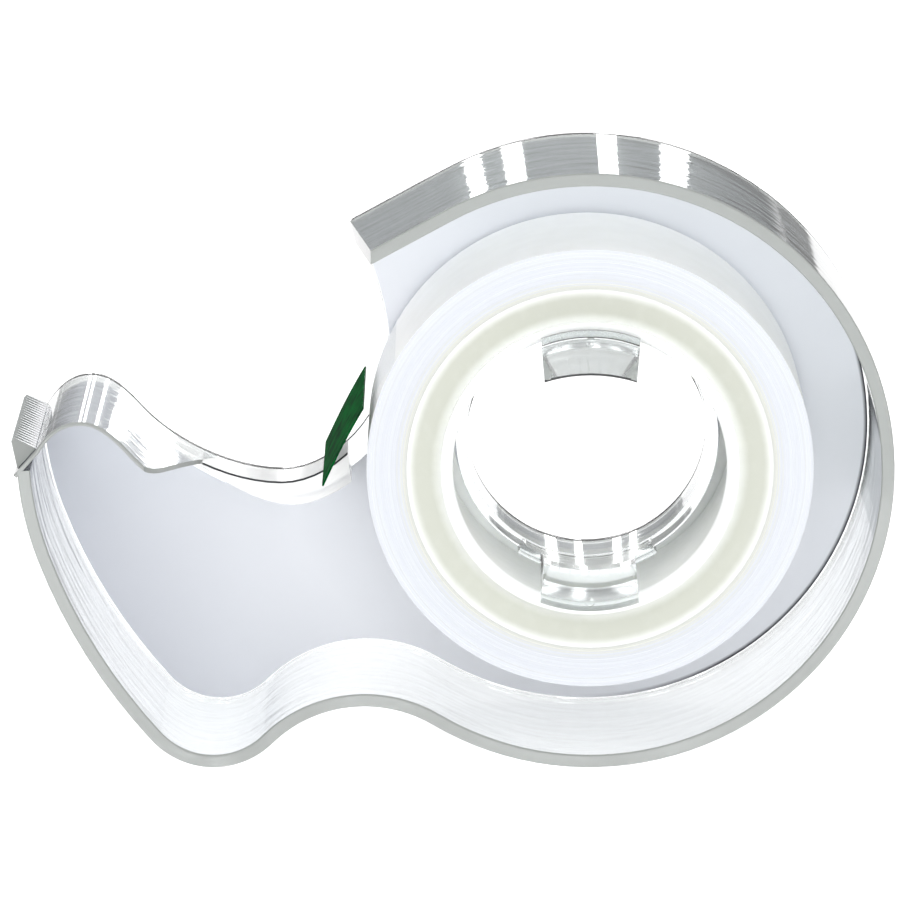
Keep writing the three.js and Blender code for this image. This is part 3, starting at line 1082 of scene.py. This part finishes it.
@dataclass
class Shell:
    """The clear moulding's plate, its matte inner face, its wall and its ledge."""

    outline: Outline
    depths: Depths
    clear: Material
    matte: Material
    # hood: clear finish with a dark grey tint, painted shade on the hood's upper wall
    hood: Material
    # edge: grey, half-clear finish, painted shade on faces that look out of the open side
    edge: Material
    ledge: Material
    # line: dark matte finish, painted shade on the ledge's bevelled near top edge
    line: Material
    rest_wall: float = 0.38 * MM
    rest_edge: float = 0.4
    nose_overlap: float = 0.5
    matte_depth: float = 0.04 * MM
    matte_lift: float = 0.01 * MM
    matte_inset: float = 0.08
    matte_below: float = 2.15
    matte_room: float = 1.08
    wall_edge: float = 0.2 * MM
    hood_from: Span = (22.5 * MM, -20 * MM)
    hood_slope: float = -0.2
    edge_slope: float = -0.15
    line_slopes: Span = (-0.95, -0.2)
    line_rise: float = 0.2
    joint: float = 0.03 * MM
    rail_width: float = 5.4 * MM
    rail_root: float = 0.35
    rail_thickness: float = 2.05
    rail_edge: float = 0.16 * MM
    rail_growth: int = 9
    rail_room: float = 2.0
    gusset_near: float = 5.1
    gusset_far: float = 12.2
    gusset_pull: float = 2.5
    gusset_heights: Span = (12 * MM, 40 * MM)
    tool_reach: float = 12.0
    tool_top: float = 70 * MM
    plate_edge: float = 0.3 * MM
    hub_bore: float = 11.4
    bore_length: float = 4 * MM

    def plate(self) -> Piece:
        """Model the flat side plate with the hub's hole."""
        shape = self.outline
        points = [shape.hood_lip, *shape.round_points(), *shape.mouth_line, *shape.under_hood()[1:]]
        plate = prism_between("shell_side_plate", points, self.depths.plate_inner, self.depths.plate_outer)
        close_up(plate, 2e-5)
        cut_with(plate, self.bore_tool(self.hub_bore))
        round_edges(plate, self.plate_edge, 2, 50)
        smooth(plate)
        dress(plate, self.clear, "frosted_shell", Body.DISPENSER, "side_plate")
        return plate

    def bore_tool(self, radius: float) -> Piece:
        """Model the cylinder that cuts the hub's hole."""
        near = self.depths.plate_inner - OVERCUT * MM
        return cylinder("bore_tool", self.outline.hub, radius, near, self.bore_length)

    def panel(self) -> Piece:
        """Model the matte inner face of the plate as a thin layer."""
        shape = self.outline
        points = shape.panel(shape.wall + self.matte_inset, self.matte_below)
        near = self.depths.plate_inner - self.matte_depth - self.matte_lift
        panel = prism_between("matte_face", points, near, near + self.matte_depth)
        cut_with(panel, self.bore_tool(self.hub_bore + self.matte_room))
        dress(panel, self.matte, "frosted_shell", Body.DISPENSER)
        return panel

    def wall(self) -> Piece:
        """Model the wall from the hood round the drum to the nose and down the ramp."""
        shape = self.outline
        depth = self.depths.plate_inner - self.joint - self.depths.open_edge
        inward = shape.hood_angle + 180
        spans = (shape.wall * MM, depth)
        section = rounded_section(
            "shell_wall", shape.hood_lip, inward, spans, self.depths.open_edge, self.wall_edge
        )
        with editing(section):
            select_all()
            sweep = Sweep(section, shape.hood_lip, shape.hood_angle - 90)
            sweep.straight(polar(shape.hub, shape.drum, shape.hood_angle))
            for centre, radius, start, end in shape.arcs:
                sweep.arc(centre, radius, start, end)
        close_up(section)
        cut_with(section, self.nose(depth), "UNION")
        cut_with(section, self.hood_tool())
        cut_with(section, self.gusset_tool())
        smooth(section)
        dress(section, self.clear, "clear_shell", Body.DISPENSER,
              "drum_wall", "belly_wall", "front_wall", "tape_rest")
        # Painted shade: the upper wall's faces that don't face down get the dark-tinted clear finish.
        low, left = self.hood_from
        finish_faces(
            section, self.hood,
            lambda centre, normal: centre.z > low and centre.x > left and normal.z > self.hood_slope,
        )
        # Painted shade: the faces that look out of the open side get the grey edge finish.
        finish_faces(section, self.edge, lambda _, normal: normal.y < self.edge_slope)
        return section

    def nose(self, depth: float) -> Piece:
        """Model the thinner wall from the teeth's seat over the nose and down the ramp.

        Args:
            depth: How deep the wall is, in metres.

        Returns:
            The closed wall, which still has to be joined to the rest.
        """
        shape = self.outline
        low, high = Vector(shape.seat_low), Vector(shape.seat_high)
        start = tuple(low - (high - low).normalized() * self.nose_overlap)
        heading = bearing(start, shape.seat_high)
        spans, edge = (self.rest_wall, depth), self.rest_wall * self.rest_edge
        section = rounded_section("nose_wall", start, heading - 90, spans, self.depths.open_edge, edge)
        with editing(section):
            select_all()
            sweep = Sweep(section, start, heading)
            sweep.along([shape.seat_high, *shape.over_nose()[1:], *shape.down_ramp()[1:8]])
        close_up(section)
        return section

    def hood_tool(self) -> Piece:
        """Model the wedge that slants the hood's lip back towards the open side."""
        lip, slant = self.outline.hood_lip, self.outline.hood_slant
        near, far = self.depths.open_edge, self.depths.plate_inner
        front, low, high = (lip[0] - self.tool_reach) * MM, lip[0] * MM, (lip[0] + slant) * MM
        corners = [(front, near - MM), (high, near - MM), (high, near), (low, far), (front, far)]
        return upright_prism("hood_tool", corners, self.outline.drum * MM, self.tool_top)

    def gusset_tool(self) -> Piece:
        """Model the curved block that sweeps the ramp's open edge across to the plate."""
        near, far = self.depths.open_edge / MM, self.depths.plate_inner / MM
        top = self.outline.nose_top[0]
        start = (top + self.gusset_near, near - OVERCUT)
        half = top + self.gusset_near + self.outline.ramp[0] / 2
        end = (top + self.gusset_far, far)
        curve = bezier(start, (half - start[0], self.gusset_pull), (half - end[0], (near - far) / 2), end, 12)
        side = end[0] + self.tool_reach
        beyond = [(end[0], far + 2), (side, far + 2), (side, near - OVERCUT)]
        corners = [(x * MM, y * MM) for x, y in curve + beyond]
        return upright_prism("gusset_tool", corners, *self.gusset_heights)

    def rail(self) -> Piece:
        """Model the ledge along the bottom of the mouth, which grows out of the ramp's end."""
        shape = self.outline
        line = shape.down_ramp()[5:] + shape.up_mouth()[1:13]
        under = []
        for i in range(1, len(line) - 1):
            share = min(1.0, i / self.rail_growth)
            thick = self.rail_root + self.rail_thickness * share * share * (3 - 2 * share)
            under.append(beside(line, i, thick))
        far = self.depths.plate_inner - self.joint
        near = far - self.rail_width
        ledge = prism_between("mouth_ledge", line[1:-1] + under[::-1], near, far)
        with editing(ledge):
            corners = [at(point, near) for point in line[1:-1]]
            select_verts(ledge, lambda co: any((co - corner).length < self.joint for corner in corners))
            bpy.ops.mesh.bevel(offset=self.rail_edge, segments=2, affect="EDGES", clamp_overlap=False)
        room, length = shape.roll + self.rail_room, self.rail_width + 2 * OVERCUT * MM
        cut_with(ledge, cylinder("ledge_tool", shape.hub, room, near - OVERCUT * MM, length))
        smooth(ledge)
        dress(ledge, self.ledge, "clear_shell", Body.DISPENSER, "thumb_rail")
        # Painted shade: the ledge's slanted front faces get the dark finish, a dark line along the mouth.
        steep, flat = self.line_slopes
        finish_faces(
            ledge, self.line, lambda _, normal: steep < normal.y < flat and normal.z > self.line_rise
        )
        return ledge


# ---- the cutter -----------------------------------------------------------------------------


@dataclass
class Comb:
    """The row of teeth on the slanted seat."""

    outline: Outline
    material: Material
    # end: the grey edge finish, painted shade on the teeth's ends
    end: Material
    width: float = 20.0
    pitch: float = 0.95
    reach: float = 2.14
    root: float = 0.3
    lean: float = 0.44
    tip: float = 0.45
    lift: float = 0.03
    crest: Span = (0.46, 0.54)
    edge: float = 0.035 * MM
    end_slope: float = 0.95

    def build(self) -> Piece:
        """Model the teeth as ridges that run out to a slanted front edge."""
        low, high = Vector(self.outline.seat_low), Vector(self.outline.seat_high)
        along = (high - low).normalized()
        out = Vector((-along.y, along.x))
        span, side = (high - low).length, self.width / 2
        wedge = prism_between("cutter_teeth", [
            tuple(low + out * self.lift),
            tuple(low + along * (span / 2 + self.lean - self.tip / 2) + out * self.reach),
            tuple(low + along * (span / 2 + self.lean + self.tip / 2) + out * self.reach),
            tuple(high + out * self.lift),
        ], -side * MM, side * MM)
        count = round(self.width / self.pitch)
        pitch = self.width / count
        rows = [(-side, 0.0)]
        for i in range(count):
            edge = -side + i * pitch
            rows += [(edge, self.root), *((edge + pitch * share, self.reach) for share in self.crest)]
        rows += [(side, self.root), (side, 0.0)]
        start = low - along * span
        corners = [at(tuple(start + out * rise), depth * MM) for depth, rise in rows]
        step = Vector((along.x, 0, along.y)) * 3 * span * MM
        cut_with(wedge, drawn_out("teeth_tool", corners, step), "INTERSECT")
        round_edges(wedge, self.edge, 2, 25)
        smooth(wedge)
        dress(wedge, self.material, "clear_teeth", Body.DISPENSER, "cutter_comb")
        # Painted shade on the teeth's two end faces.
        finish_faces(wedge, self.end, lambda _, normal: abs(normal.y) > self.end_slope)
        return wedge


# ---- the hub --------------------------------------------------------------------------------


@dataclass
class Hub:
    """The hub ring on the side plate and the two springy fingers in front of it."""

    hub: Point
    depths: Depths
    clear: Material
    snap: Material
    # dark: painted shade under the upper finger's lip
    dark: Material
    outer: float = 12.4
    wall: float = 1.0
    root_half: float = 32.0
    tongue_halves: Point = (4.75, 4.15)
    root_length: float = 2.5
    hook: Point = (0.9, 1.1)
    lip: Point = (3.0, 1.0)
    lip_run: float = 2.2
    lip_arc: Point = (14.0, 9.2)
    edge: float = 0.16 * MM
    lip_cut: float = 6 * MM
    dimple: float = 0.42
    dimple_inset: float = 0.1
    dimple_depth: float = 0.2
    ring_edge: float = 0.2
    joint: float = 0.03
    hook_slope: float = 0.6
    dark_depth: float = 1.3
    dark_slope: float = -0.4

    def ring(self) -> Piece:
        """Model the ring that the core turns on."""
        near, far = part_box("hub_ring")[0].y / MM, self.depths.plate_inner / MM - self.joint
        bore, edge = self.outer - self.wall, self.ring_edge
        ring = turned("hub_tube", self.hub, [
            (bore, far), (bore, near + edge), (bore + edge, near), (self.outer - edge, near),
            (self.outer, near + edge), (self.outer, far),
        ])
        smooth(ring)
        dress(ring, self.clear, "clear_shell", Body.DISPENSER, "hub_ring")
        return ring

    def finger(self, name: str, middle: float, body: Body, node: str) -> Piece:
        """Model one finger: a tongue with a flared root, a hook over the core and a lip to press.

        Args:
            name: The piece's name.
            middle: The bearing of the finger's middle, in degrees.
            body: The body that it rides on.
            node: The CAD node that it stands for.

        Returns:
            The finished piece.
        """
        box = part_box(node)
        near, far = box[0].y / MM, box[1].y / MM
        bore, tip = self.outer - self.wall, self.outer + self.hook[0]
        slope = self.hook[1] * self.hook_slope
        inner = bore - self.lip[0]
        finger = turned(name, self.hub, [
            (self.outer, far), (self.outer, near + self.hook[1]), (tip, near + self.hook[1]),
            (tip, near + slope), (tip - slope, near), (inner, near),
            (inner, near + self.lip[1]), (bore, near + self.lip[1] + self.lip_run), (bore, far),
        ], middle - self.root_half, 2 * self.root_half, 2.0)
        arc_radius, arc_reach = self.lip_arc
        arc_centre = polar(self.hub, arc_reach - arc_radius, middle)
        start = (near - OVERCUT) * MM
        cut_with(finger, cylinder("lip_tool", arc_centre, arc_radius, start, self.lip_cut))
        up = 1 if middle > 0 else -1
        wide, narrow = self.tongue_halves
        outer_z = self.hub[1] + up * (self.outer + 2 * OVERCUT)
        inner_z = self.hub[1] + up * (inner - OVERCUT)
        for sign in (-1, 1):
            beyond = self.hub[0] + sign * 3 * wide
            corners = [(self.hub[0] + sign * wide, outer_z), (self.hub[0] + sign * narrow, inner_z),
                       (beyond, inner_z), (beyond, outer_z)]
            cut_with(finger, prism_between("side_tool", corners, start, (far - self.root_length) * MM))
        centre = polar(self.hub, self.outer - self.dimple_inset, middle)
        depth = (OVERCUT + self.dimple_depth) * MM
        cut_with(finger, cylinder("dimple_tool", centre, self.dimple, start, depth))
        round_edges(finger, self.edge, 3, 40)
        smooth(finger)
        dress(finger, self.snap, "clear_shell", body, node)
        # Painted shade: a dark crescent on the underside of the upper finger's lip, near the open side.
        if up > 0:
            deepest = (near + self.dark_depth * self.lip[1]) * MM
            finish_faces(
                finger, self.dark, lambda centre, normal: normal.z < self.dark_slope and centre.y < deepest
            )
        return finger


# ---- the roll -------------------------------------------------------------------------------


@dataclass
class Roll:
    """The tape on its core, with its loose end and starter tab."""

    hub: Point
    depths: Depths
    core_finish: Material
    tape_finish: Material
    # the roll's outer face: the tape's milky back, painted lighter to stand in for light
    back_painted_light: Material
    film_finish: Material
    tab_finish: Material
    bore: float = 12.7
    core_outer: float = 17.0
    outer: float = 20.7
    round_edge: float = 1.1
    core_chamfer: float = 0.04
    tape_chamfer: float = 0.12
    slip: float = 0.01
    turn_share: float = 0.92
    waves: tuple[Triple, Triple] = ((0.55, 2.1, 0), (0.45, 5.3, 1))
    back_slope: float = 0.5
    turns: int = 26
    telescope: float = 0.03
    lead_bearing: float = 150.6
    lead_length: float = 5.2
    tab_length: float = 8.3
    film: float = 0.16
    lead_gap: float = 0.1
    seam: float = 0.05
    curl: float = 0.35

    def core(self) -> Piece:
        """Model the core with a rounded inner edge at both ends."""
        near, far = self.depths.roll_near / MM, self.depths.roll_far / MM
        edge, steps = self.round_edge, 6
        turns = [math.pi / 2 * i / steps for i in range(steps + 1)]
        front = [(self.bore + edge * (1 - math.sin(t)), near + edge * (1 - math.cos(t))) for t in turns]
        outer, cut = self.core_outer, self.core_chamfer
        profile = [*front, (outer - cut, near), (outer, near + cut), (outer, far - cut), (outer - cut, far)]
        profile += [(r, near + far - y) for r, y in reversed(front)]
        core = turned("core_tube", self.hub, profile, step=2.5)
        smooth(core, 40)
        dress(core, self.core_finish, "cream_core", Body.ROLL, "tape_core")
        return core

    def winding(self) -> Piece:
        """Model the wound tape, whose turns stand out by slightly different amounts."""
        near, far = self.depths.roll_near / MM, self.depths.roll_far / MM
        thick = (self.outer - self.core_outer - self.slip) / self.turns
        face = []
        for i in range(self.turns):
            out = self.telescope * (1 + sum(size * math.sin(turn * i + lag) for size, turn, lag in self.waves))
            radius = self.core_outer + self.slip + i * thick
            face += [(radius, out), (radius + thick * self.turn_share, out)]
        profile = [(radius, near + out) for radius, out in face]
        profile += [(self.outer, near + self.tape_chamfer), (self.outer, far - self.tape_chamfer)]
        profile += [(radius, far - out) for radius, out in reversed(face)]
        winding = turned("wound_turns", self.hub, profile, step=2.5)
        smooth(winding, 30)
        dress(winding, self.tape_finish, "tape_film", Body.ROLL, "tape_winding")
        # Painted light: the roll's outer face gets a lighter milky finish than the turns' edges, partly the
        # tape back's own colour.
        finish_faces(winding, self.back_painted_light, lambda _, normal: abs(normal.y) < self.back_slope)
        return winding

    def strip(self, name: str, start: float, length: float, steps: int = 10) -> Piece:
        """Model a stretch of the loose film, which leaves the roll on a tangent and curls a little.

        Args:
            name: The piece's name.
            start: How far along the loose end it starts, in millimetres.
            length: Its length, in millimetres.
            steps: How many stretches it is bent over.

        Returns:
            The strip as a mesh object.
        """
        heading = self.lead_bearing + 90
        total = self.lead_length + self.tab_length
        foot = polar(self.hub, self.outer + self.lead_gap, self.lead_bearing)

        def place(run: float) -> Point:
            """Return the film's middle at a distance along it."""
            bow = self.curl * math.sin(math.pi * run / total)
            return polar(polar(foot, run, heading), bow, self.lead_bearing)

        line = [place(start + length * i / steps) for i in range(steps + 1)]
        first = bearing(line[0], line[1])
        width = self.depths.roll_far - self.depths.roll_near
        strip = plane(name, at(line[0], 0), (self.film * MM, width), math.radians(first - 90))
        with editing(strip):
            select_all()
            Sweep(strip, line[0], first).along(line[1:])
        close_up(strip)
        smooth(strip)
        return strip

    def lead(self) -> Piece:
        """Model the clear loose end."""
        lead = self.strip("loose_lead", 0, self.lead_length)
        dress(lead, self.film_finish, "tape_film", Body.ROLL, "tape_lead")
        return lead

    def tab(self) -> Piece:
        """Model the green starter tab on the loose end."""
        tab = self.strip("green_tab", self.lead_length + self.seam, self.tab_length - self.seam)
        dress(tab, self.tab_finish, "green_tab", Body.ROLL, "starter_tab")
        return tab


# ---- the studio -----------------------------------------------------------------------------


@dataclass(frozen=True)
class SoftLamp:
    """A rectangular lamp that faces the object."""

    name: str
    place: Triple
    size: Span
    power: float
    colour: Triple = (1.0, 1.0, 1.0)

    def add(self, target: Vector) -> Piece:
        """Add the lamp and turn it towards the target."""
        data = bpy.data.lights.new(self.name, "AREA")
        data.shape = "RECTANGLE"
        data.size, data.size_y = self.size
        data.energy = self.power
        data.color = self.colour
        lamp = bpy.data.objects.new(self.name, data)
        bpy.context.scene.collection.objects.link(lamp)
        lamp.visible_camera = False
        lamp.location = self.place
        lamp.rotation_euler = (target - Vector(self.place)).to_track_quat("-Z", "Y").to_euler()
        return lamp


@dataclass
class Studio:
    """The pale floor, the light and the camera."""

    target: Triple = (-0.000216, 0.0, 0.027864)
    elevation: float = 12.5
    distance: float = 0.6432
    lens: float = 274.0
    floor_half: float = 4.0
    floor_colour: Triple = (0.55, 0.55, 0.55)
    floor_dim: Triple = (0.25, 0.25, 0.25)
    floor_glow: Span = (0.72, 0.12)
    floor_roughness: Span = (0.6, 0.8)
    floor_drop: float = 0.2 * MM
    floor_end: Span = (0.62, 0.70)
    front: Span = (-0.55, -0.2)
    front_level: float = 0.85
    sky: tuple[Span, ...] = (
        (0.0, 0.95), (0.49, 0.95), (0.505, 0.30), (0.57, 0.38), (0.66, 0.85), (0.8, 1.05), (1.0, 1.15),
    )
    lamps: tuple[SoftLamp, ...] = (
        SoftLamp("key_lamp", (-0.35, -0.45, 0.7), (0.5, 0.5), 1.8),
        SoftLamp("front_lamp", (0.1, -1.0, 0.5), (0.5, 0.3), 1.2),
        SoftLamp("fill_lamp", (0.5, -0.6, 0.4), (0.4, 0.4), 1.5),
        SoftLamp("back_strip_left", (-0.041, 0.6, 0.14), (0.017, 0.26), 0.045),
        SoftLamp("back_strip_right", (0.041, 0.6, 0.14), (0.017, 0.26), 0.045),
        SoftLamp("side_strip_left", (-0.072, 0.6, 0.13), (0.012, 0.24), 0.04),
        SoftLamp("side_strip_right", (0.095, 0.6, 0.12), (0.02, 0.24), 0.045),
    )

    def floor(self) -> Piece:
        """Add the floor, with a faint unevenness in its finish."""
        deselect_everything()
        bpy.ops.mesh.primitive_plane_add(size=2 * self.floor_half, location=(0, 0, -self.floor_drop))
        floor = settled("studio_floor")
        graph = Graph("pale_floor")
        beyond = graph.spread(graph.part(graph.place(), "Y"), self.floor_end)
        shader = graph.surface({
            "Base Color": graph.ramp(beyond, [(0.0, self.floor_colour), (1.0, self.floor_dim)]),
            "Roughness": graph.spread(graph.noise(6.0, 2.0), WHOLE, self.floor_roughness),
            "Specular IOR Level": 0.0, "Emission Color": (1, 1, 1, 1),
            "Emission Strength": graph.spread(beyond, WHOLE, self.floor_glow),
        })
        floor.data.materials.append(graph.finish(shader))
        return floor

    def light(self) -> None:
        """Set the sky, bright overhead and dimmer near the horizon, and add the lamps."""
        graph = Graph("studio_sky", world=True)
        way = graph.node("TexCoord").outputs["Generated"]
        height = graph.spread(graph.part(way, "Z"), (-1, 1))
        sky = graph.ramp(height, [(position, (level, level, level * 1.01)) for position, level in self.sky])
        front = graph.spread(graph.part(way, "Y"), self.front, (self.front_level, 0.0))
        background = graph.node("Background", {"Color": graph.calc("MAXIMUM", sky, front)})
        bpy.context.scene.world = graph.finish(background.outputs[0])
        for lamp in self.lamps:
            lamp.add(Vector(self.target))

    def camera(self) -> None:
        """Add the camera, which looks slightly down at the open side."""
        data = bpy.data.cameras.new("studio_camera")
        data.sensor_width = 36
        data.lens = self.lens
        data.clip_start, data.clip_end = 0.01, 20
        camera = bpy.data.objects.new("studio_camera", data)
        bpy.context.scene.collection.objects.link(camera)
        pitch = math.radians(self.elevation)
        away = Vector((0, -math.cos(pitch), math.sin(pitch)))
        camera.location = Vector(self.target) + away * self.distance
        camera.rotation_euler = (-away).to_track_quat("-Z", "Y").to_euler()
        bpy.context.scene.camera = camera

    def colours(self) -> None:
        """Show the light as it is, without a film look."""
        bpy.context.scene.view_settings.view_transform = "Standard"
        bpy.context.scene.view_settings.look = "None"


def main() -> None:
    """Build the dispenser in order; each piece logs its face count."""
    logging.basicConfig(level=logging.INFO)
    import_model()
    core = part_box("tape_core")
    hub = ((core[0].x + core[1].x) / 2 / MM, (core[0].z + core[1].z) / 2 / MM)
    outline = Outline(hub=hub, drum=hub[1])
    depths = Depths.from_frame()

    studio = Studio()
    studio.floor()
    studio.light()
    studio.camera()
    studio.colours()

    clear = ClearMoulding().make()
    # Painted shade: a dark grey tint on the hood's clear plastic, standing in for the grey reflections on its
    # top.
    hood = ClearMoulding("hood_painted_shade", tint=(0.36, 0.39, 0.38)).make()
    # Painted shade: a grey, half-clear tint on the open edge and on the teeth's ends.
    edge = ClearMoulding("edge_painted_shade", tint=(0.33, 0.345, 0.335), roughness=0.35, clearness=0.3).make()
    ledge = ClearMoulding(
        "clear_ledge", tint=(0.97, 0.97, 0.97), roughness=0.2, ripple_depth=0.000002, clearness=0.5
    ).make()
    # Painted shade: a dark, non-shiny finish that draws dark lines along the ledge and under the upper
    # finger's lip.
    line = Moulded(
        "painted_shade_line", (0.07, 0.072, 0.075), (0.035, 0.036, 0.04), (0.6, 0.8), specular=0.0, index=1.01
    ).make()
    shell = Shell(outline, depths, clear, MattePanel(at(hub, 0)).make(), hood, edge, ledge, line)
    shell.plate()
    shell.panel()
    shell.wall()
    shell.rail()
    Comb(outline, ToothedEdge().make(), edge).build()
    tube = ClearMoulding("clear_hub", ripple_depth=0.000008).make()
    snap = ClearMoulding(
        "clear_snap", tint=(0.86, 0.88, 0.88), roughness=0.09, ripple_scale=260.0, ripple_depth=0.000008
    ).make()
    ring = Hub(hub, depths, tube, snap, line)
    ring.ring()
    ring.finger("upper_snap", 90, Body.UPPER_FINGER, "snap_finger_upper")
    ring.finger("lower_snap", -90, Body.LOWER_FINGER, "snap_finger_lower")
    roll = Roll(
        hub, depths,
        core_finish=CoreBoard(at(hub, 0)).make(),
        tape_finish=WoundTape(at(hub, 0)).make(),
        # Painted light on the roll's outer face, over the milky colour of the tape's back.
        back_painted_light=Moulded("tape_back_painted_light", (0.84, 0.845, 0.855), (0.80, 0.805, 0.81), subsurface=0.2).make(),
        film_finish=ThinFilm().make(),
        tab_finish=Moulded(
            "green_film", (0.001, 0.10, 0.018), (0.001, 0.018, 0.006), (0.5, 0.65), 600, 0.00003,
            specular=0.1, index=1.06,
        ).make(),
    )
    roll.core()
    roll.winding()
    roll.lead()
    roll.tab()


if __name__ == "__main__":
    main()
